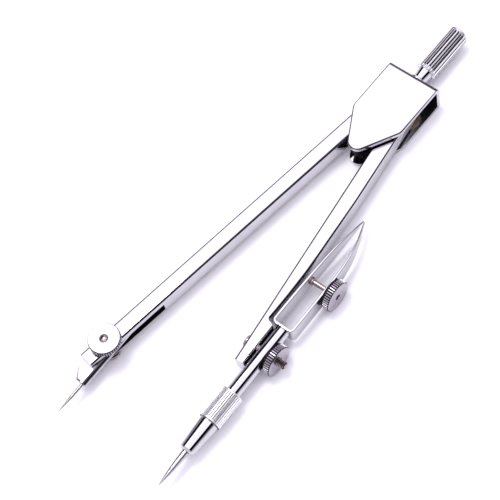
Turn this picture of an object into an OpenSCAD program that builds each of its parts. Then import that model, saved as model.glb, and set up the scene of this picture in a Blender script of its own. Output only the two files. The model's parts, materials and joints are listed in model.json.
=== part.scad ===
// Drafting compass with a geared head, a needle leg with a knee joint, and a turn-about insert
// that carries a ruling pen at one end and a steel point at the other.
// Frame: origin on the yoke's back face, midway between the two leg pivots.
// +Y runs to the handle, +X to the pen leg and +Z out of the front plate.

/* [Head] */
// Width of the yoke's plates
head_w = 18.3; // [18:0.1:20]
// Thickness of the yoke, outer face to outer face
head_t = 10.1; // [10.1:0.1:11]
// Thickness of the folded plate
plate_t = 1.3; // [1.1:0.05:1.4]
// Height of the yoke's top above the leg pivots
head_top = 9.9; // [9:0.1:10.4]
// Length of the plates from the top to the nose
head_len = 32.1; // [31:0.1:34]
// Angle between the nose's sides and the centre line
nose_angle = 30; // [26:1:34]
// Distance from the centre line to each leg pivot
pivot_x = 4.4; // [4.4:0.1:4.6]
// Radius of the pivot screws' bearing
pivot_r = 1.6; // [1.4:0.1:1.8]

/* [Handle] */
// Radius of the fluted handle
handle_r = 3.5; // [3.2:0.1:4]
// Length of the fluted handle
handle_len = 17.9; // [14:0.1:22]
// Number of flutes
flute_count = 20; // [12:2:24]
// Length of the bare neck between collar and handle
neck_len = 3.7; // [2:0.1:5]

/* [Legs] */
// Half of the opening angle at rest
open_angle = 7.6; // [7:0.1:9]
// Width of the legs
leg_w = 5.2; // [5:0.1:5.4]
// Thickness of the legs
leg_t = 5.8; // [5.6:0.1:5.8]
// Radius of the rounding along the legs' edges
leg_round = 0.7; // [0.3:0.1:0.8]
// Leg pivot to knee pivot
knee_len = 115.5; // [110:0.5:120]
// Leg pivot to the end of the needle leg
needle_leg_len = 123.4; // [122:0.2:124]
// Leg pivot to the start of the knee slot
slot_start = 95.3; // [94:0.1:99]
// Number of teeth that a full head gear would have
gear_teeth = 22; // [20:2:24]

/* [Knurled nuts] */
// Diameter of the three knurled nuts
nut_d = 10; // [9.6:0.1:10]
// Width of a nut's knurled rim
nut_t = 2; // [1.6:0.1:2.2]
// Number of knurl teeth round a nut
knurl_count = 40; // [30:2:44]

/* [Needle] */
// Diameter of the needle
needle_d = 1; // [0.8:0.1:1.1]
// Length of the needle outside its holder
needle_out = 10.9; // [8:0.1:12]

/* [Insert] */
// Clamp axis above or below the leg pivots, and to the side of the centre line
clamp_pos = [19.62, -88.7];
// Angle between the insert and the centre line at rest
insert_angle = 1.4; // [1:0.1:2]
// Radius of the insert's shank
shank_r = 2.3; // [2.2:0.05:2.3]
// Height of the pen blades
blade_h = 6; // [5:0.1:6]
// Thickness of the pen blades
blade_t = 0.9; // [0.7:0.05:1]
// Radius of the knurled sleeve
sleeve_r = 3.6; // [3.4:0.1:3.8]
// Radius of the steel point
point_r = 1.1; // [1:0.05:1.1]

/* [Hidden] */
$fn = 48;
fit = 0.05;          // radial clearance of a shaft that turns or slides in its hole
tight = 0.02;        // radial clearance of a pin or screw that is fixed in its hole
far = 60;            // reach of cutting shapes
z_mid = head_t / 2;
leg_z0 = z_mid - leg_t / 2;
leg_z1 = z_mid + leg_t / 2;
nose_y = head_top - head_len;
bend_r = 1.5;        // outside radius of the yoke's folds
screw_head_r = 2.6;  // countersunk head of a pivot screw
screw_head_h = 0.9;
screw_tip_r = 1.1;   // threaded tip of a pivot screw
screw_tip_len = 0.9;
collar_r = 3.1;
collar_len = 1.1;
neck_r = 2.05;       // the neck widens from the collar to the handle
neck_top_r = 2.55;
spigot_r = 1.5;
spigot_len = 10;     // length of the stud inside the handle
handle_y0 = head_top + collar_len + neck_len;

// Head gear: addendum, dedendum and tooth half widths
gear_tip_r = pivot_x + 0.3;
gear_root_r = pivot_x - 0.45;
tooth_pitch = 360 / gear_teeth;

// Knee
knee_x = -pivot_x - knee_len * sin(open_angle);
knee_y = -knee_len * cos(open_angle);
knee_r = 1.2;
slot_z0 = z_mid - 2;
slot_z1 = z_mid + 0.9;
holder_t = 2.7;
holder_z = (slot_z0 + slot_z1) / 2;
holder_angle = 0.5;  // needle direction against the centre line
barrel_x = 1.6;      // needle axis beside the knee pivot
holder_top = 7.4;
holder_end = -13.6;
needle_in = 10.4;    // length of needle inside the holder
washer_t = 0.2;
shoulder_h = 0.4;    // plain shoulder inside a nut's knurled rim

// Insert: distances along its axis from the clamp axis, nib end positive
fork_s0 = 8.3;
fork_s1 = 51;
fork_web = 0.9;
adjust_s = 26.1;
adjust_r = 0.8;
adjust_nut_x = 3.9;  // inner face of the adjusting nut
adjust_hub = 0.9;    // plain shoulder of the adjusting nut
sleeve_s0 = -15.4;
sleeve_s1 = -26;
nose_s1 = -36.8;
point_s1 = -49.2;
thread_r = 1.9;      // shank's thread inside the sleeve
neck_bore_r = 2.35;  // sleeve's bore for the nose cone's neck
collet_r = 1.7;
clamp_r = 1.3;
clamp_head_r = 2;
clamp_seat = -5.6;   // underside of the clamp screw's head
clamp_gap = 0.35;    // between shank and nut, for the washer

// Blade outlines seen from the front, base to tip, as [across, along]
left_outer = [[-3.8, 12], [-3.7, 20], [-3.45, 28], [-3.2, 35], [-2.85, 41], [-2.4, 46], [-1.95, 50.6]];
right_outer = [[3.8, 12], [3.85, 20], [3.8, 28], [3.5, 33.5], [2.95, 37.8], [2.15, 41.2],
               [1.2, 44.2], [0, 47.3], [-1.2, 50.4]];
// Half height of the blades, as [along, half height] times the full half height
blade_leaf = [[28, 1], [33, 0.95], [38, 0.82], [43, 0.6], [47, 0.38], [50, 0.18], [51, 0.08]];

function arc(c, r, a0, a1, n) = [for (i = [0:n]) let (a = a0 + (a1 - a0) * i / n)
                                 [c[0] + r * cos(a), c[1] + r * sin(a)]];
function mirror_x(p) = [for (i = [len(p) - 1:-1:0]) [-p[i][0], p[i][1]]];
// A blade's inner side: its outer side moved in by the blade's thickness, which thins to the tip
function inner_side(p, side) = [for (q = p) let (k = (q[1] - 12) / (fork_s1 - 12))
                                [q[0] - side * (blade_t - (blade_t - 0.3) * k * k), q[1]]];
function reversed(p) = [for (i = [len(p) - 1:-1:0]) p[i]];

// ---- placement ----
module at_needle_leg() { translate([-pivot_x, 0, 0]) rotate([0, 0, -open_angle]) children(); }
module at_pen_leg() { translate([pivot_x, 0, 0]) rotate([0, 0, open_angle]) children(); }
module at_knee() { translate([knee_x, knee_y, 0]) rotate([0, 0, holder_angle]) children(); }
module at_insert() { translate([clamp_pos[0], clamp_pos[1], z_mid]) rotate([0, 0, insert_angle]) children(); }
// Stands a solid made along +Z so that it runs along +Y or +X
module along_y() { rotate([-90, 0, 0]) children(); }
module along_x() { rotate([0, 90, 0]) children(); }

// ---- shared shapes ----
module tube(r_out, r_in, h) {
    difference() {
        cylinder(r = r_out, h = h);
        translate([0, 0, -1]) cylinder(r = r_in, h = h + 2);
    }
}

// Round nut whose inner face is at z = 0: a plain shoulder, then the knurled rim with a chamfer.
// The bore is countersunk at the outer face.
module knurled_nut(bore_r, shoulder) {
    groove_r = 0.28;
    chamfer = 0.25;
    countersink = 0.12;
    rim_r = nut_d / 2;
    shoulder_r = rim_r - 0.4;
    hole_r = bore_r + fit;
    top = shoulder + nut_t;
    difference() {
        rotate_extrude() polygon([[hole_r, 0], [shoulder_r, 0], [shoulder_r, shoulder], [rim_r, shoulder],
            [rim_r, top - chamfer], [rim_r - chamfer, top], [hole_r + countersink, top],
            [hole_r, top - countersink]]);
        for (i = [0:knurl_count - 1]) rotate([0, 0, i * 360 / knurl_count])
            translate([rim_r + 0.08, 0, 0]) cylinder(r = groove_r, h = top + 1);
    }
}

// Profile of a screw's threaded end, from height z0 over the given length to a chamfered tip
function thread_profile(r, z0, length) =
    let (pitch = 0.5, depth = 0.2, tip = 0.4, turns = floor((length - tip) / pitch))
    concat([for (i = [0:turns - 1]) each [[r, z0 + i * pitch], [r - depth, z0 + (i + 0.5) * pitch]]],
           [[r, z0 + turns * pitch], [r - tip, z0 + length], [0, z0 + length]]);

// ---- head ----
module head_outline() {
    corner_r = 3;
    tip_r = 3.2;
    t = nose_angle;
    corner_x = head_w / 2 - corner_r;
    corner_y = (corner_x * cos(t) + corner_r - tip_r + (nose_y + tip_r) * sin(t)) / sin(t);
    right = concat([[head_w / 2, head_top]], arc([corner_x, corner_y], corner_r, 0, -t, 6),
                   arc([0, nose_y + tip_r], tip_r, -t, -90, 8));
    polygon(concat(right, mirror_x(right)));
}

// Section of the folded plate, seen from the side: x is the frame's Y and y is its Z
module fold_section() {
    inner_r = bend_r - plate_t;
    y0 = nose_y - 1;
    outside = concat([[y0, 0]], arc([head_top - bend_r, bend_r], bend_r, -90, 0, 8),
                     arc([head_top - bend_r, head_t - bend_r], bend_r, 0, 90, 8), [[y0, head_t]]);
    inside = concat([[y0, head_t - plate_t]], arc([head_top - bend_r, head_t - bend_r], inner_r, 90, 0, 8),
                    arc([head_top - bend_r, bend_r], inner_r, 0, -90, 8), [[y0, plate_t]]);
    polygon(concat(outside, inside));
}

module head_yoke() {
    color("gainsboro") difference() {
        intersection() {
            linear_extrude(height = head_t) head_outline();
            rotate([90, 0, 90]) linear_extrude(height = head_w + 2, center = true) fold_section();
        }
        for (side = [-1, 1]) translate([side * pivot_x, 0, 0]) {
            translate([0, 0, -1]) cylinder(r = pivot_r + tight, h = plate_t + 2);
            translate([0, 0, -0.01])
                cylinder(r1 = screw_head_r + tight, r2 = pivot_r + tight, h = screw_head_h);
            translate([0, 0, head_t - plate_t - 0.1])
                cylinder(r = screw_tip_r + tight, h = screw_tip_len + 0.15);
        }
        translate([0, head_top - 3, z_mid]) along_y() cylinder(r = spigot_r + tight, h = 5);
    }
}

module handle() {
    bevel = 0.7;
    groove_r = 0.45;
    socket = spigot_len + 0.2;
    color("silver") translate([0, handle_y0, z_mid]) along_y() difference() {
        rotate_extrude() polygon(concat([[spigot_r + tight, 0], [handle_r - bevel, 0], [handle_r, bevel]],
            arc([handle_r - bevel, handle_len - bevel], bevel, 0, 90, 6),
            [[0, handle_len], [0, socket], [spigot_r + tight, socket]]));
        for (i = [0:flute_count - 1]) rotate([0, 0, i * 360 / flute_count])
            translate([handle_r + 0.08, 0, -1]) cylinder(r = groove_r, h = handle_len - bevel + 0.8);
    }
}

module handle_stud() {
    round_r = 0.35;
    lower = plate_t + 1.9;
    top = collar_len + neck_len;
    color("gainsboro") translate([0, head_top, z_mid]) along_y() rotate_extrude()
        polygon(concat([[0, -lower], [spigot_r, -lower], [spigot_r, 0], [collar_r - 0.2, 0]],
            arc([collar_r - round_r, collar_len - round_r], round_r, 0, 90, 6),
            [[neck_r, collar_len], [neck_top_r, top], [spigot_r, top], [spigot_r, top + spigot_len],
             [0, top + spigot_len]]));
}

module stud_nut() {
    nut_h = 1.68;
    corner_r = 2.9;
    color("dimgray") translate([0, head_top - plate_t - nut_h - tight, z_mid]) along_y() difference() {
        cylinder(r = corner_r, h = nut_h, $fn = 6);
        translate([0, 0, -1]) cylinder(r = spigot_r + tight, h = nut_h + 2);
    }
}

module pivot_screw(side) {
    slot_w = 0.6;
    color("silver") translate([side * pivot_x, 0, 0]) difference() {
        union() {
            cylinder(r1 = screw_head_r, r2 = pivot_r, h = screw_head_h);
            cylinder(r = pivot_r, h = head_t - plate_t - tight);
            cylinder(r = screw_tip_r, h = head_t - plate_t + screw_tip_len);
        }
        rotate([0, 0, side * 25]) translate([-5, -slot_w / 2, -1]) cube([10, slot_w, 1.45]);
    }
}
module pivot_screw_left() { pivot_screw(-1); }
module pivot_screw_right() { pivot_screw(1); }

module head_washer(side, z0) {
    washer_r = 3.6;
    washer_h = leg_z0 - plate_t - fit;
    color("goldenrod") translate([side * pivot_x, 0, z0]) tube(washer_r, pivot_r + fit, washer_h);
}
module washer_front_left() { head_washer(-1, leg_z1 + fit); }
module washer_front_right() { head_washer(1, leg_z1 + fit); }
module washer_back_left() { head_washer(-1, plate_t); }
module washer_back_right() { head_washer(1, plate_t); }

// ---- legs ----
module tooth() {
    polygon([[gear_root_r - 0.3, -0.42], [gear_root_r, -0.4], [pivot_x, -0.24], [gear_tip_r, -0.12],
             [gear_tip_r, 0.12], [pivot_x, 0.24], [gear_root_r, 0.4], [gear_root_r - 0.3, 0.42]]);
}

// Outline of a leg in its own frame, its geared end round the pivot. The teeth start from the angle
// given, where the phase puts a tooth or a gap, and side is where the flat outer side lies.
module leg_outline(teeth_angle, phase, first, last, side) {
    intersection() {
        union() {
            circle(r = gear_root_r);
            for (k = [first:last]) rotate([0, 0, teeth_angle + (k - phase) * tooth_pitch]) tooth();
            children();
        }
        translate([side > 0 ? leg_w / 2 - far : -leg_w / 2, -far * 3]) square([far, far * 4]);
    }
}

// Cuts that round the long edges on one side of a leg, front and back
module side_rounds(side) {
    start = 8;
    c = [leg_w / 2 - leg_round, leg_t / 2 - leg_round];
    outside = concat([[leg_w, c[1]], [leg_w, leg_t], [c[0], leg_t]], arc(c, leg_round, 90, 0, 8));
    for (back = [0, 1])
        translate([0, -start, z_mid]) mirror([side < 0 ? 1 : 0, 0, 0]) mirror([0, 0, back])
            rotate([90, 0, 0]) linear_extrude(height = far * 3) polygon(outside);
}

module needle_leg() {
    color("gainsboro") at_needle_leg() difference() {
        translate([0, 0, leg_z0]) linear_extrude(height = leg_t) leg_outline(open_angle, 0, -2, 4, -1)
            translate([-leg_w, -needle_leg_len]) square([leg_w * 1.5, needle_leg_len]);
        side_rounds(-1);
        side_rounds(1);
        translate([0, 0, -1]) cylinder(r = pivot_r + fit, h = head_t + 2);
        translate([-far / 2, -slot_start - far, slot_z0]) cube([far, far, slot_z1 - slot_z0]);
        translate([0, -knee_len, -1]) cylinder(r = knee_r + tight, h = head_t + 2);
    }
}

module knee_screw() {
    head_r = 2.9;
    head_h = 1.2;
    slot_w = 0.7;
    dome_r = 2.1;
    face = leg_z1 + washer_t + shoulder_h + nut_t;
    edge = acos(knee_r / dome_r);
    color("silver") translate([knee_x, knee_y, 0]) difference() {
        rotate_extrude() polygon(concat([[0, leg_z0 - head_h], [head_r, leg_z0 - head_h], [head_r, leg_z0],
            [knee_r, leg_z0]], arc([0, face - dome_r * sin(edge)], dome_r, edge, 90, 6)));
        translate([-5, -slot_w / 2, leg_z0 - 2]) cube([10, slot_w, 1.3]);
    }
}
module knee_washer() {
    color("goldenrod") translate([knee_x, knee_y, leg_z1])
        tube(2.8, knee_r + tight, washer_t - tight);
}
module knee_nut() {
    color("gainsboro") translate([knee_x, knee_y, leg_z1 + washer_t]) knurled_nut(knee_r, shoulder_h);
}

// The tongue turns on the knee screw. Below the leg it tapers to the barrel that holds the needle.
module holder_outline() {
    side_x = -3.7;
    corner_r = 1.2;
    polygon(concat(arc([side_x + corner_r, holder_top - corner_r], corner_r, 180, 90, 5),
                   [[barrel_x, holder_top], [barrel_x, holder_end], [-0.5, holder_end]],
                   arc([side_x + 1, -8], 1, 212, 180, 3)));
}

module needle_holder() {
    barrel_r = holder_t / 2;
    color("gainsboro") at_knee() difference() {
        union() {
            translate([0, 0, holder_z - holder_t / 2]) linear_extrude(height = holder_t) holder_outline();
            translate([barrel_x, holder_end, holder_z]) along_y()
                cylinder(r = barrel_r, h = holder_top - holder_end);
        }
        translate([0, 0, -1]) cylinder(r = knee_r + fit, h = head_t + 2);
        translate([barrel_x, holder_end - 1, holder_z]) along_y()
            cylinder(r = needle_d / 2 + fit, h = needle_in + 1.5);
    }
}

module needle() {
    taper = 6;
    tip_r = 0.04;
    length = needle_out + needle_in;
    color("silver") at_knee() translate([barrel_x, holder_end - needle_out, holder_z]) along_y()
        rotate_extrude()
            polygon([[0, 0], [tip_r, 0], [needle_d / 2, taper], [needle_d / 2, length], [0, length]]);
}

module pen_leg_outline() {
    tilt = open_angle - insert_angle;
    dx = clamp_pos[0] - pivot_x;
    dy = clamp_pos[1];
    // Clamp axis in the leg's own frame, and the seat that the insert's shank turns against
    cx = dx * cos(open_angle) + dy * sin(open_angle);
    cy = -dx * sin(open_angle) + dy * cos(open_angle);
    seat = -shank_r - fit;
    function seat_at(s) = [cx + seat * cos(tilt) + s * sin(tilt), cy - seat * sin(tilt) + s * cos(tilt)];
    // The last two points lie outside the leg's flat side, which cuts them off
    polygon([[-leg_w / 2, 0], [-leg_w / 2, -96.5], seat_at(-6.9), seat_at(7.4), [0, -81.6], [-0.25, -80.6],
             [0.1, -78], [0.9, -71], [1.6, -63], [1.95, -55], [2.2, -48], [3, -24], [3, 0]]);
}

module pen_leg() {
    color("gainsboro") difference() {
        at_pen_leg() difference() {
            translate([0, 0, leg_z0]) linear_extrude(height = leg_t)
                leg_outline(180 - open_angle, 0.5, -3, 3, 1) pen_leg_outline();
            side_rounds(-1);
            translate([0, 0, -1]) cylinder(r = pivot_r + fit, h = head_t + 2);
        }
        at_insert() along_x() cylinder(r = clamp_r + tight, h = far, center = true);
        at_insert() translate([clamp_seat - 10, 0, 0]) along_x() cylinder(r = clamp_head_r + 0.2, h = 10);
    }
}

// ---- clamp on the pen leg ----
module clamp_screw() {
    head_h = 1.1;
    slot_w = 0.6;
    // The head's round top is part of a sphere
    dome_r = 3.28;
    edge = asin(clamp_head_r / dome_r);
    dome = [for (p = arc([0, -head_h + dome_r * cos(edge)], dome_r, -90, -90 + edge, 6)) [abs(p[0]), p[1]]];
    face = shank_r + clamp_gap + shoulder_h + nut_t - clamp_seat;
    color("silver") at_insert() difference() {
        translate([clamp_seat, 0, 0]) along_x() rotate_extrude()
            polygon(concat(dome, [[clamp_head_r, 0], [clamp_r, 0]], thread_profile(clamp_r, face, 2.4)));
        translate([clamp_seat - 3, -slot_w / 2, -5]) cube([2.3, slot_w, 10]);
    }
}
module clamp_washer() {
    color("goldenrod") at_insert() translate([shank_r + fit, 0, 0])
        along_x() tube(2.7, clamp_r + tight, 0.25);
}
module clamp_nut() {
    color("gainsboro") at_insert() translate([shank_r + clamp_gap, 0, 0]) along_x()
        knurled_nut(clamp_r, shoulder_h);
}

// ---- turn-about insert ----
module insert_shank() {
    thread_end = -20.4;
    color("gainsboro") at_insert() difference() {
        translate([0, thread_end, 0]) along_y() union() {
            cylinder(r = thread_r, h = 6);
            translate([0, 0, sleeve_s0 - thread_end]) cylinder(r = shank_r, h = fork_s0 - sleeve_s0);
        }
        along_x() cylinder(r = clamp_r + fit, h = far, center = true);
        translate([0, fork_s0 - 5, 0]) along_y() cylinder(r = 1.02, h = 6);
    }
}

module fork_outline() {
    corner = 1.5;
    y0 = fork_s0;
    outer = concat(reversed(left_outer), arc([-3.8 + corner, y0 + corner], corner, 180, 270, 6),
                   arc([3.8 - corner, y0 + corner], corner, 270, 360, 6), right_outer);
    inner = concat(reversed(inner_side(right_outer, 1)), [[3.8 - blade_t, y0 + fork_web + 0.3]],
                   [[3.5 - blade_t, y0 + fork_web]], [[-3.5 + blade_t, y0 + fork_web]],
                   [[-3.8 + blade_t, y0 + fork_web + 0.3]], inner_side(left_outer, -1));
    polygon(concat(outer, inner));
}

module pen_fork() {
    h = blade_h / 2;
    upper = [for (p = blade_leaf) [p[0], p[1] * h]];
    lower = [for (p = reversed(blade_leaf)) [p[0], -p[1] * h]];
    color("gainsboro") at_insert() difference() {
        union() {
            intersection() {
                translate([0, 0, -h]) linear_extrude(height = blade_h) fork_outline();
                rotate([90, 0, 90]) linear_extrude(height = far, center = true)
                    polygon(concat([[0, h]], upper, lower, [[0, -h]]));
            }
            translate([0, fork_s0 - 4.5, 0]) along_y() cylinder(r = 1, h = 4.6);
        }
        translate([-far, adjust_s, 0]) along_x() cylinder(r = adjust_r + tight, h = far);
        translate([0, adjust_s, 0]) along_x() cylinder(r = adjust_r + fit, h = far);
    }
}

// The screw is fixed in the left blade, against which its collar bears
module adjusting_screw() {
    start = -3.6;
    collar = [-2.6, -2.1];
    collar_r = 1.3;
    thread_len = 1.1;
    face = adjust_nut_x + adjust_hub + nut_t;
    color("silver") at_insert() translate([0, adjust_s, 0]) along_x() rotate_extrude()
        polygon(concat([[0, start], [adjust_r, start], [adjust_r, collar[0]], [collar_r, collar[0]],
                        [collar_r, collar[1]], [adjust_r, collar[1]]],
                       thread_profile(adjust_r, face + 0.2 - thread_len, thread_len)));
}
module adjusting_nut() {
    color("gainsboro") at_insert() translate([adjust_nut_x, adjust_s, 0]) along_x()
        knurled_nut(adjust_r, adjust_hub);
}

module knurled_sleeve() {
    groove_r = 0.19;
    ridges = 32;
    round_r = 0.25;
    smooth = 0.45;
    length = sleeve_s0 - sleeve_s1;
    edge_r = sleeve_r - round_r;
    color("silver") at_insert() translate([0, sleeve_s1, 0]) along_y() difference() {
        rotate_extrude() polygon(concat([[neck_bore_r, 0]], arc([edge_r, round_r], round_r, -90, 0, 4),
            arc([edge_r, length - round_r], round_r, 0, 90, 4),
            [[thread_r + fit, length], [thread_r + fit, 3.6], [neck_bore_r, 3.6]]));
        for (i = [0:ridges - 1]) rotate([0, 0, i * 360 / ridges])
            translate([sleeve_r + 0.04, 0, smooth]) cylinder(r = groove_r, h = length - 2 * smooth);
    }
}

module nose_cone() {
    base_r = 3.1;
    end_r = 2.5;
    round_r = 1;
    length = sleeve_s1 - nose_s1;
    neck_r = neck_bore_r - fit;
    seat = 1.3;
    mouth_r = point_r + 0.15;
    bore_r = collet_r + fit;
    color("gainsboro") at_insert() translate([0, nose_s1, 0]) along_y() rotate_extrude()
        polygon(concat([[mouth_r, 0]], arc([end_r - round_r, round_r], round_r, -90, -3, 6),
            [[base_r, length - 0.3], [base_r - 0.3, length], [neck_r, length], [neck_r, length + 3.5],
             [bore_r, length + 3.5], [bore_r, seat], [mouth_r, seat]]));
}

module collet() {
    length = 13;
    slit = 0.3;
    color("goldenrod") at_insert() translate([0, nose_s1 + 1.35, 0]) along_y() difference() {
        tube(collet_r, point_r + fit, length);
        for (a = [0, 90]) rotate([0, 0, a]) translate([-3, -slit / 2, -1]) cube([6, slit, 8]);
    }
}

module compass_point() {
    out = nose_s1 - point_s1;
    rear = 12.4;
    // The visible end is an ogive: steep near the tip, almost parallel at the nose
    ogive = [for (i = [0:8]) let (k = i / 8) [0.03 + (point_r - 0.03) * sin(90 * pow(k, 0.85)), out * k]];
    color("silver") at_insert() translate([0, point_s1, 0]) along_y() rotate_extrude()
        polygon(concat([[0, 0]], ogive, [[point_r, out + rear], [0, out + rear]]));
}

head_yoke();
handle();
handle_stud();
stud_nut();
pivot_screw_left();
pivot_screw_right();
washer_front_left();
washer_front_right();
washer_back_left();
washer_back_right();
needle_leg();
knee_screw();
knee_washer();
knee_nut();
needle_holder();
needle();
pen_leg();
clamp_screw();
clamp_washer();
clamp_nut();
insert_shank();
pen_fork();
adjusting_screw();
adjusting_nut();
knurled_sleeve();
nose_cone();
collet();
compass_point();
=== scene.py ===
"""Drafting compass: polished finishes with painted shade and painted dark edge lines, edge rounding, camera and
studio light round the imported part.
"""

import json
import math

import bmesh
import bpy
from mathutils import Matrix, Vector


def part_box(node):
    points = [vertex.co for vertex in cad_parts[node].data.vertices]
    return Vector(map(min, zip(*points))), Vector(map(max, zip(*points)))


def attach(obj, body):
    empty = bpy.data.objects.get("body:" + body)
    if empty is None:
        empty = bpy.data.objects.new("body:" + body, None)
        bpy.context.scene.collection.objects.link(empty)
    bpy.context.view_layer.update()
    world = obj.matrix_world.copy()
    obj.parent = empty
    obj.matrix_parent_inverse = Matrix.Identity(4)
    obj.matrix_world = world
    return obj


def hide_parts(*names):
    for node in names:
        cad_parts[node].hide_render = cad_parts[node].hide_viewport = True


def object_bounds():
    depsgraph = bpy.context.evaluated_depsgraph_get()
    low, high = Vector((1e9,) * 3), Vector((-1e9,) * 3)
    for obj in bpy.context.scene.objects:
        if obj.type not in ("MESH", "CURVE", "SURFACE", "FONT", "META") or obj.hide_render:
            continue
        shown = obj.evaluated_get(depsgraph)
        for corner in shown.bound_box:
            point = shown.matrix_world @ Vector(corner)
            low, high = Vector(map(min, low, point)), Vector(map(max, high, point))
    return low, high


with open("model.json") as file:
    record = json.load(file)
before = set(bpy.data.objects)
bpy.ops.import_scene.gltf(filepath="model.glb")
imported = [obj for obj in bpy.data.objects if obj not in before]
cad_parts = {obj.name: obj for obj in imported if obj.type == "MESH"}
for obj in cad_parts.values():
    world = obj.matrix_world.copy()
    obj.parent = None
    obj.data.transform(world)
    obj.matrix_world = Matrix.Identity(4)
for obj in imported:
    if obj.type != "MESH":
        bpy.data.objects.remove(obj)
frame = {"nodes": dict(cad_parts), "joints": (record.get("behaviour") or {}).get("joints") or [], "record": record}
cad_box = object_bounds()
nodes = frame["nodes"]
joints = {j["name"]: j for j in frame["joints"]}
bodies = frame["record"]["behaviour"]["bodies"]
body_of_node = {node: body for body, members in bodies.items() for node in members}
slot_of_node = {s["node"]: s["material_slot"] for s in frame["record"]["subparts"]}
MM = 0.001
UP = Vector((0, 0, 1))
X, Y, Z = range(3)


# ---- camera ----
CAMERA_AZIMUTH = 55.31
CAMERA_ELEVATION = 61.34
CAMERA_ROLL = -17.70
CAMERA_PLACE = Vector((171.84, -188.17, 399.42)) * MM


def add_camera():
    a, e, r = (math.radians(v) for v in (CAMERA_AZIMUTH, CAMERA_ELEVATION, CAMERA_ROLL))
    back = Vector((math.sin(a) * math.cos(e), -math.cos(a) * math.cos(e), math.sin(e)))
    level = Vector((math.cos(a), math.sin(a), 0))
    right = level * math.cos(r) + back.cross(level) * math.sin(r)
    up = back.cross(right)
    data = bpy.data.cameras.new("camera")
    data.lens = 108
    data.sensor_width = 36
    data.clip_start = 0.01
    data.clip_end = 50
    cam = bpy.data.objects.new("camera", data)
    turn = Matrix((right, up, back)).transposed().to_4x4()
    cam.matrix_world = Matrix.Translation(CAMERA_PLACE) @ turn
    bpy.context.scene.collection.objects.link(cam)
    bpy.context.scene.camera = cam


# ---- places in metres, and sizes in mm ----
def middle(node):
    """The middle of a node's box, in metres."""
    low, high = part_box(node)
    return (low + high) / 2


def half(node, axis):
    """Half of a node's size along one axis, in mm."""
    low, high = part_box(node)
    return (high[axis] - low[axis]) / 2 / MM


head_axis = Vector((0, 1, 0))
clamp_axis = Vector(joints["insert_turn"]["axis"])
insert_axis = Vector(joints["chuck_turn"]["axis"])
holder_axis = Vector(joints["needle_slide"]["axis"])
knee_centre = Vector(joints["knee_hinge"]["pos_m"])
insert_centre = Vector(joints["insert_turn"]["pos_m"])
adjusting_centre = Vector(joints["adjusting_nut_turn"]["pos_m"])

pivot_x = joints["pen_leg_hinge"]["pos_m"][X] / MM
head_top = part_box("head_yoke")[1].z / MM
yoke_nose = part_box("head_yoke")[0].y / MM
leg_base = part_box("needle_leg")[0].z / MM
handle_r = half("handle", X)
handle_half = half("handle", Y)
sleeve_r = half("knurled_sleeve", Z)
nut_r = half("knee_nut", X)

NUT_RIM = 2.0  # width of the knurled rims
KNURL_DARK = 0.14  # how far below a rim its grooves are fully dark
CLAMP_SCREW_R = 1.24  # just under the crests of the two screws' threads
ADJUSTING_SCREW_R = 0.74
# The box in which the yoke's inside is painted in shade: half its width, its distance from the outer
# faces and from the tip of the nose, and where it ends at the back
YOKE_X = 9.0
YOKE_FACE = 1.25
YOKE_NOSE = 2.5
YOKE_BACK = 8.7
# The box in which the knee slot is painted in shade, in the needle leg's own frame, with Z from the leg's
# underside
SLOT_LOW = (-2.58, -140, 0.88)
SLOT_HIGH = (2.58, -95, 3.82)
# Places along the pen leg from its pivot: the insert's seat lies beyond one, the geared end before the other
SEAT_Y = -81
GEAR_Y = -12

# Angles of the bars to the frame's Y, in degrees
NEEDLE_LEG_ANGLE = -7.6
PEN_LEG_ANGLE = 7.6
INSERT_ANGLE = 1.4


# ---- materials ----
class Tree:
    """Adds nodes to one node tree and links them."""

    def __init__(self, owner):
        owner.use_nodes = True
        self.tree = owner.node_tree
        self.tree.nodes.clear()

    def add(self, kind, inputs=None, **settings):
        node = self.tree.nodes.new(kind)
        for key, value in settings.items():
            setattr(node, key, value)
        for key, value in (inputs or {}).items():
            socket = node.inputs[key]
            if isinstance(value, bpy.types.NodeSocket):
                self.tree.links.new(value, socket)
            else:
                socket.default_value = value
        return node

    def math(self, operation, a, b=0.0):
        return self.add("ShaderNodeMath", {0: a, 1: b}, operation=operation).outputs[0]

    def vector(self, operation, a, b=(0, 0, 0), out="Vector"):
        return self.add("ShaderNodeVectorMath", {0: a, 1: b}, operation=operation).outputs[out]

    def remap(self, value, low, high, new_low, new_high):
        inputs = {0: value, 1: low, 2: high, 3: new_low, 4: new_high}
        return self.add("ShaderNodeMapRange", inputs).outputs[0]

    def mix(self, factor, colour, other):
        node = self.add("ShaderNodeMix", {"Factor": factor}, data_type="RGBA")
        self.tree.links.new(colour, node.inputs["A"])
        node.inputs["B"].default_value = (*other, 1)
        return node.outputs["Result"]

    def ramp(self, value, stops):
        node = self.add("ShaderNodeValToRGB", {"Fac": value})
        ramp = node.color_ramp
        while len(ramp.elements) < len(stops):
            ramp.elements.new(0.5)
        for element, (place, colour) in zip(ramp.elements, stops):
            element.position = place
            element.color = (*colour, 1)
        return node.outputs["Color"]

    def along_and_out(self, place, centre, axis):
        """How far a place lies along an axis from a centre, and how far out from the axis, in metres."""
        local = self.vector("SUBTRACT", place, tuple(centre))
        along = self.vector("DOT_PRODUCT", local, tuple(axis), out="Value")
        crossed = self.vector("CROSS_PRODUCT", local, tuple(axis))
        return along, self.vector("LENGTH", crossed, out="Value")


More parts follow.
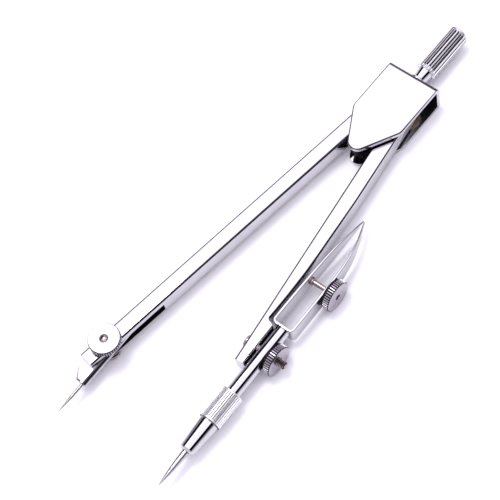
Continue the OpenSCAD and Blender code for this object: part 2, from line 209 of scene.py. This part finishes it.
LOOKS = {
    # slot or piece: (darker colour, lighter colour, smoothest, roughest, height of the tool marks in mm)
    "plated_steel": ((0.53, 0.52, 0.55), (0.61, 0.60, 0.63), 0.03, 0.09, 0.0008),
    "handle_steel": ((0.70, 0.69, 0.71), (0.82, 0.81, 0.83), 0.06, 0.16, 0.0012),
    "nut_steel": ((0.32, 0.29, 0.34), (0.48, 0.45, 0.50), 0.20, 0.34, 0.0025),
    "screw_steel": ((0.24, 0.18, 0.17), (0.50, 0.44, 0.43), 0.12, 0.25, 0.002),
    "point_steel": ((0.40, 0.39, 0.41), (0.56, 0.55, 0.57), 0.08, 0.18, 0.0012),
    "needle": ((0.20, 0.19, 0.20), (0.34, 0.33, 0.34), 0.08, 0.18, 0.0012),
    "washer_brass": ((0.24, 0.17, 0.12), (0.40, 0.30, 0.22), 0.15, 0.30, 0.002),
    "knurled_sleeve": ((0.80, 0.79, 0.81), (0.90, 0.89, 0.91), 0.34, 0.46, 0.002),
}
# Painted shade and painted dark reflection lines: the near-black colour laid into grooves, gaps and hollows, and
# onto rounded edges
PAINTED_DARK = (0.025, 0.022, 0.026)
SHADE_ROUGHNESS = 0.3  # added to the metal's own
# how strongly the painted dark reflection lines cover the rounded edges
EDGE_LINE_STRENGTH = 0.9
CLOUDS = 160.0  # noise cells to the metre
MARKS_ACROSS = 5000
MARKS_ALONG = 90
RINGS = 7000.0


def on_rounded_edges(t, axis, flat):
    """1 on the rounded edges round a piece's two flat faces, which lie square to an axis: the mask of the painted
    dark reflection lines. flat is the cosine of the tilt at which the edges start."""
    normal = t.add("ShaderNodeTexCoord").outputs["Normal"]
    tilt = t.math("ABSOLUTE", t.vector("DOT_PRODUCT", normal, tuple(axis), out="Value"))
    off_side = t.remap(tilt, 0.30, 0.40, 0.0, 1.0)
    off_face = t.remap(tilt, flat - 0.008, flat, 1.0, 0.0)
    return t.math("MULTIPLY", off_side, off_face)


def finish_of(slot, name, marks, recess, edges):
    """A polished metal. marks(tree, place) gives the coordinate that the tool marks follow, and
    recess(tree, place) is up to 1 where painted shade darkens a groove, a gap or a hollow. edges is None,
    or the axis and the flat that on_rounded_edges takes, for painted dark reflection lines on the rounded edges."""
    dark, light, smooth, rough, depth = LOOKS.get(name) or LOOKS[slot]
    material = bpy.data.materials.new(name + "_finish")
    t = Tree(material)
    place = t.add("ShaderNodeTexCoord").outputs["Object"]
    cloud = t.add("ShaderNodeTexNoise", {"Vector": place, "Scale": CLOUDS, "Detail": 3.0}).outputs["Fac"]
    follow = marks(t, place)
    fine = t.add("ShaderNodeTexNoise", {"Vector": follow, "Scale": 1.0, "Detail": 4.0}).outputs["Fac"]
    mixed = t.math("ADD", t.math("MULTIPLY", cloud, 0.5), t.math("MULTIPLY", fine, 0.5))
    bump = t.add("ShaderNodeBump", {"Strength": 0.6, "Distance": depth * MM, "Height": fine})
    colour = t.ramp(mixed, [(0.3, dark), (0.62, light)])
    roughness = t.remap(mixed, 0.3, 0.7, smooth, rough)
    # painted shade: near-black colour and more roughness where shade falls in grooves, gaps and hollows
    if recess:
        inside = recess(t, place)
        colour = t.mix(inside, colour, PAINTED_DARK)
        roughness = t.math("ADD", roughness, t.math("MULTIPLY", inside, SHADE_ROUGHNESS))
    # painted dark reflection lines along the rounded edges
    if edges:
        colour = t.mix(t.math("MULTIPLY", on_rounded_edges(t, *edges), EDGE_LINE_STRENGTH), colour, PAINTED_DARK)
    shader = t.add("ShaderNodeBsdfPrincipled", {
        "Base Color": colour,
        "Metallic": 1.0,
        "Roughness": roughness,
        "Normal": bump.outputs[0],
    })
    t.add("ShaderNodeOutputMaterial", {"Surface": shader.outputs[0]})
    return material


# Tool marks: each function returns one that gives the coordinate they follow.
def drawn(angle):
    """Marks that run along a bar lying at this angle to the frame's Y, in degrees."""
    def marks(t, place):
        turned = t.add("ShaderNodeMapping", {"Vector": place, "Rotation": (0, 0, math.radians(-angle))})
        return t.vector("MULTIPLY", turned.outputs[0], (MARKS_ACROSS, MARKS_ALONG, MARKS_ACROSS))
    return marks


def turned_on(centre, axis):
    """Rings round an axis, as a lathe leaves them on a face and round a cylinder."""
    def marks(t, place):
        along, out = t.along_and_out(place, centre, axis)
        pair = t.add("ShaderNodeCombineXYZ", {"X": t.math("MULTIPLY", out, RINGS),
                                              "Y": t.math("MULTIPLY", along, RINGS)})
        return pair.outputs[0]
    return marks


# Painted shade: each function returns one that is above 0 where shade is painted into a groove, a gap or a hollow.
def within(turn, centre, low, high, depth=1.0):
    """depth inside a box given in mm, in a frame turned about Z by an angle in degrees round a centre."""
    def recess(t, place):
        moved = t.vector("SUBTRACT", place, tuple(Vector(centre) * MM))
        turned = t.add("ShaderNodeMapping", {"Vector": moved, "Rotation": (0, 0, math.radians(-turn))})
        parts = t.add("ShaderNodeSeparateXYZ", {"Vector": turned.outputs[0]})
        inside = None
        for name, a, b in zip("XYZ", low, high):
            value = parts.outputs[name]
            above = t.math("GREATER_THAN", value, a * MM)
            both = t.math("MULTIPLY", above, t.math("LESS_THAN", value, b * MM))
            inside = both if inside is None else t.math("MULTIPLY", inside, both)
        return t.math("MULTIPLY", inside, depth)
    return recess


def below(centre, axis, radius, reach=50.0):
    """1 in a turned piece's grooves: from a radius down to 0.45 mm below it, and along the axis as far as
    reach to each side of the centre. Both are in mm."""
    def recess(t, place):
        along, out = t.along_and_out(place, centre, axis)
        near = t.math("LESS_THAN", t.math("ABSOLUTE", along), reach * MM)
        near = t.math("MULTIPLY", near, t.math("GREATER_THAN", out, (radius - 0.45) * MM))
        return t.math("MULTIPLY", near, t.remap(out, (radius - 0.06) * MM, radius * MM, 1.0, 0.0))
    return recess


def knurl_and_shoulder(centre, axis, start, shoulder):
    """1 in a nut's knurl grooves and on its inner shoulder. start is the inner face along the axis and
    shoulder the shoulder's height, in mm."""
    def recess(t, place):
        along, out = t.along_and_out(place, centre, axis)
        inner = t.math("LESS_THAN", along, (start + shoulder + 0.03) * MM)
        rim = t.math("LESS_THAN", along, (start + shoulder + NUT_RIM - 0.02) * MM)
        groove = t.remap(out, (nut_r - KNURL_DARK) * MM, (nut_r - 0.05) * MM, 1.0, 0.0)
        return t.math("MAXIMUM", inner, t.math("MULTIPLY", rim, groove))
    return recess


# ---- pieces with rounded edges ----
CORNER = math.radians(22)  # an edge that turns less belongs to a round surface
SMALL = 0.1  # a bevel narrower than this, in mm, is kept from running past short edges


def cleaned(bm):
    bmesh.ops.remove_doubles(bm, verts=bm.verts, dist=1e-6)
    bmesh.ops.dissolve_limit(bm, angle_limit=math.radians(0.3), verts=bm.verts, edges=bm.edges)


def sharp_edges(bm, chosen):
    """The edges with a real corner that the function chosen picks, given each one's ends in mm."""
    found = []
    for edge in bm.edges:
        if len(edge.link_faces) == 2 and edge.calc_face_angle(0) > CORNER:
            a, b = (v.co / MM for v in edge.verts)
            if chosen(a, b, edge):
                found.append(edge)
    return found


def edged(node, passes):
    """A copy of a CAD node with its corners rounded. Each pass has a width in mm, a number of segments
    and the function that picks its edges."""
    piece = bpy.data.objects.new(node + "_edged", nodes[node].data.copy())
    bpy.context.scene.collection.objects.link(piece)
    for name in ("sharp_edge", "custom_normal"):
        if name in piece.data.attributes:
            piece.data.attributes.remove(piece.data.attributes[name])
    bm = bmesh.new()
    bm.from_mesh(piece.data)
    cleaned(bm)
    for width, segments, chosen in passes:
        bmesh.ops.bevel(bm, geom=sharp_edges(bm, chosen), offset=width * MM, offset_type="OFFSET",
                        segments=segments, profile=0.5, affect="EDGES", clamp_overlap=width < SMALL)
    for face in bm.faces:
        face.smooth = True
    bm.to_mesh(piece.data)
    bm.free()
    weighted = piece.modifiers.new("weighted", "WEIGHTED_NORMAL")
    weighted.weight = 100
    weighted.keep_sharp = False
    bpy.context.view_layer.update()
    whole = bpy.data.meshes.new_from_object(piece.evaluated_get(bpy.context.evaluated_depsgraph_get()))
    piece.modifiers.clear()
    piece.data = whole
    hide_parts(node)
    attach(piece, body_of_node[node])
    return piece


def any_edge(a, b, edge):
    return True


def longer_than(length):
    return lambda a, b, edge: (a - b).length > length


def yoke_outer(a, b, edge):
    """The rims of the yoke's two outer faces."""
    return all(min(v.z, head_top - v.z) < 0.01 for v in (a, b))


def pen_leg_right(a, b, edge):
    """The long edges on the pen leg's tapered side, front and back, down to the insert's seat."""
    turn = Matrix.Rotation(math.radians(-PEN_LEG_ANGLE), 3, "Z")
    ends = [turn @ (v - Vector((pivot_x, 0, 0))) for v in (a, b)]
    level = abs(a.z - b.z) < 0.01
    right = all(v.x > -0.5 for v in ends)
    above_seat = max(v.y for v in ends) > SEAT_Y and min(v.y for v in ends) < GEAR_Y
    return level and right and above_seat and abs(ends[0].y - ends[1].y) > 0.5


def rims(a, b, edge):
    """The contours of the faces that lie square to Z or slope a little."""
    return abs(a.z - b.z) < 0.5 * (a - b).length and edge.calc_face_angle(0) > math.radians(60)


ROUNDINGS = {
    "head_yoke": [(0.45, 6, yoke_outer), (0.05, 2, any_edge)],
    "needle_leg": [(0.06, 2, any_edge)],
    "pen_leg": [(0.55, 6, pen_leg_right), (0.25, 4, longer_than(3)), (0.05, 2, any_edge)],
    "needle_holder": [(0.45, 6, longer_than(2)), (0.05, 2, any_edge)],
    "pen_fork": [(0.2, 6, rims)],
}

# ---- what each piece wears ----
TOOL_MARKS = {
    "head_yoke": drawn(0),
    "needle_leg": drawn(NEEDLE_LEG_ANGLE),
    "pen_leg": drawn(PEN_LEG_ANGLE),
    "needle_holder": drawn(0),
    "pen_fork": drawn(INSERT_ANGLE),
    "needle": turned_on(middle("needle"), holder_axis),
}
for part in ("handle", "handle_stud", "stud_nut"):
    TOOL_MARKS[part] = turned_on(middle(part), head_axis)
for part in ("clamp_screw", "clamp_washer", "clamp_nut"):
    TOOL_MARKS[part] = turned_on(insert_centre, clamp_axis)
for part in ("adjusting_screw", "adjusting_nut"):
    TOOL_MARKS[part] = turned_on(adjusting_centre, clamp_axis)
for part in ("insert_shank", "knurled_sleeve", "nose_cone", "collet", "compass_point"):
    TOOL_MARKS[part] = turned_on(insert_centre, insert_axis)
for part in nodes:
    if part not in TOOL_MARKS:
        TOOL_MARKS[part] = turned_on(middle(part), UP)

# Painted shade: the yoke's inside between its plates, the knee slot, and the grooves of the handle, the sleeve and
# the two screws' threads
SHADED_RECESSES = {
    "head_yoke": within(0, (0, 0, 0), (-YOKE_X, yoke_nose + YOKE_NOSE, YOKE_FACE),
                        (YOKE_X, YOKE_BACK, head_top - YOKE_FACE), 0.6),
    "needle_leg": within(NEEDLE_LEG_ANGLE, (-pivot_x, 0, leg_base), SLOT_LOW, SLOT_HIGH),
    "handle": below(middle("handle"), head_axis, handle_r - 0.26, handle_half - 1.2),
    "knurled_sleeve": below(insert_centre, insert_axis, sleeve_r - 0.09),
    "clamp_screw": below(insert_centre, clamp_axis, CLAMP_SCREW_R),
    "adjusting_screw": below(adjusting_centre, clamp_axis, ADJUSTING_SCREW_R),
}

NUTS = {
    # nut: (place on its axis, axis, height of its inner shoulder in mm)
    "knee_nut": (knee_centre, UP, 0.4),
    "clamp_nut": (insert_centre, clamp_axis, 0.4),
    "adjusting_nut": (adjusting_centre, clamp_axis, 0.9),
}
# Painted dark reflection lines on the rounded edges: the cosine of the tilt at which they start
FLAT = 0.998
SLOPING_FLAT = 0.94  # for the pen's blades, whose faces slope a little
PAINTED_EDGE_LINES = {part: (UP, SLOPING_FLAT if part == "pen_fork" else FLAT) for part in ROUNDINGS}
# painted shade in each nut's knurl grooves and on its inner shoulder, where it meets its washer, and painted dark
# lines on its rounded edges
for nut, (centre, axis, shoulder) in NUTS.items():
    start = min((v.co - centre).dot(axis) for v in nodes[nut].data.vertices) / MM
    SHADED_RECESSES[nut] = knurl_and_shoulder(centre, axis, start, shoulder)
    PAINTED_EDGE_LINES[nut] = (axis, FLAT)


def dress(obj, material):
    obj.data.materials.clear()
    obj.data.materials.append(material)


for part, obj in nodes.items():
    marks, recess, edges = (table.get(part) for table in (TOOL_MARKS, SHADED_RECESSES, PAINTED_EDGE_LINES))
    material = finish_of(slot_of_node[part], part, marks, recess, edges)
    dress(obj, material)
    if part in ROUNDINGS:
        dress(edged(part, ROUNDINGS[part]), material)


# ---- stage ----
FLOOR_HALF = 2.0
FLOOR_GAP = 0.05 * MM


def add_floor():
    mesh = bpy.data.meshes.new("floor")
    s = FLOOR_HALF
    z = cad_box[0].z - FLOOR_GAP
    mesh.from_pydata([(-s, -s, z), (s, -s, z), (s, s, z), (-s, s, z)], [], [(0, 1, 2, 3)])
    floor = bpy.data.objects.new("floor", mesh)
    bpy.context.scene.collection.objects.link(floor)
    material = bpy.data.materials.new("floor")
    t = Tree(material)
    place = t.add("ShaderNodeTexCoord").outputs["Object"]
    grain = t.add("ShaderNodeTexNoise", {"Vector": place, "Scale": 30.0}).outputs["Fac"]
    shader = t.add("ShaderNodeBsdfPrincipled", {
        "Base Color": t.ramp(grain, [(0.0, (0.91, 0.91, 0.92)), (1.0, (0.94, 0.94, 0.95))]),
        "Roughness": 0.9,
        "Specular IOR Level": 0.0,
    })
    t.add("ShaderNodeOutputMaterial", {"Surface": shader.outputs[0]})
    mesh.materials.append(material)


def add_softbox(name, direction, distance, size, radiance):
    """A square softbox that faces the compass. Its radiance is what a mirror of it would show."""
    data = bpy.data.lights.new(name, "AREA")
    data.shape = "SQUARE"
    data.size = size
    data.energy = radiance * math.pi * size * size
    lamp = bpy.data.objects.new(name, data)
    away = Vector(direction).normalized()
    target = (cad_box[0] + cad_box[1]) / 2
    lamp.matrix_world = (Matrix.Translation(target + away * distance)
                         @ away.to_track_quat("Z", "Y").to_matrix().to_4x4())
    bpy.context.scene.collection.objects.link(lamp)
    return lamp


# Each light of the dome: (where it starts, where it is full, its strength). OVERHEAD and HORIZON go by
# height, WALLS by how far a direction leans to X, and PANEL by how near it lies to PANEL_DIRECTION.
OVERHEAD = (0.75, 0.79, 1.62)
HORIZON = (0.40, 0.12, 0.8)
WALLS = (0.67, 0.57, 0.9)
PANEL = (0.945, 0.965, 0.3)
PANEL_DIRECTION = (-0.394, 0.273, 0.877)
SCATTERED = 0.15  # more for matt surfaces only
TINT = (1, 0.955, 1.08)


def add_dome():
    """A pale studio with a bright top and two black cards, one to each side, which draw the dark lines
    in the metal."""
    world = bpy.data.worlds.new("dome")
    bpy.context.scene.world = world
    t = Tree(world)

    def light(value, start, full, strength):
        if start < full:
            return t.remap(value, start, full, 0.0, strength)
        return t.remap(value, full, start, strength, 0.0)

    place = t.add("ShaderNodeTexCoord").outputs["Generated"]
    parts = t.add("ShaderNodeSeparateXYZ", {"Vector": place})
    height = parts.outputs["Z"]
    across = t.math("MULTIPLY", parts.outputs["X"], parts.outputs["X"])
    level = t.math("SUBTRACT", 1.0001, t.math("MULTIPLY", height, height))
    walls = light(t.math("DIVIDE", across, level), *WALLS)
    panel = light(t.vector("DOT_PRODUCT", place, PANEL_DIRECTION, out="Value"), *PANEL)
    around = t.math("MAXIMUM", t.math("MAXIMUM", light(height, *OVERHEAD), walls), light(height, *HORIZON))
    ray = t.add("ShaderNodeLightPath")
    scattered = t.math("MULTIPLY", ray.outputs["Is Diffuse Ray"], SCATTERED)
    strength = t.math("ADD", t.math("ADD", around, panel), scattered)
    tinted = {name: t.math("MULTIPLY", strength, share) for name, share in zip("XYZ", TINT)}
    dome = t.add("ShaderNodeCombineXYZ", tinted).outputs[0]
    colour = t.mix(ray.outputs["Is Camera Ray"], dome, (1, 1, 1))
    background = t.add("ShaderNodeBackground", {"Color": colour, "Strength": 1.0})
    t.add("ShaderNodeOutputWorld", {"Surface": background.outputs[0]})


add_camera()
add_floor()
add_softbox("key", direction=(-0.24, 0.03, 0.97), distance=0.85, size=0.22, radiance=14)
add_dome()
bpy.context.scene.view_settings.view_transform = "Standard"
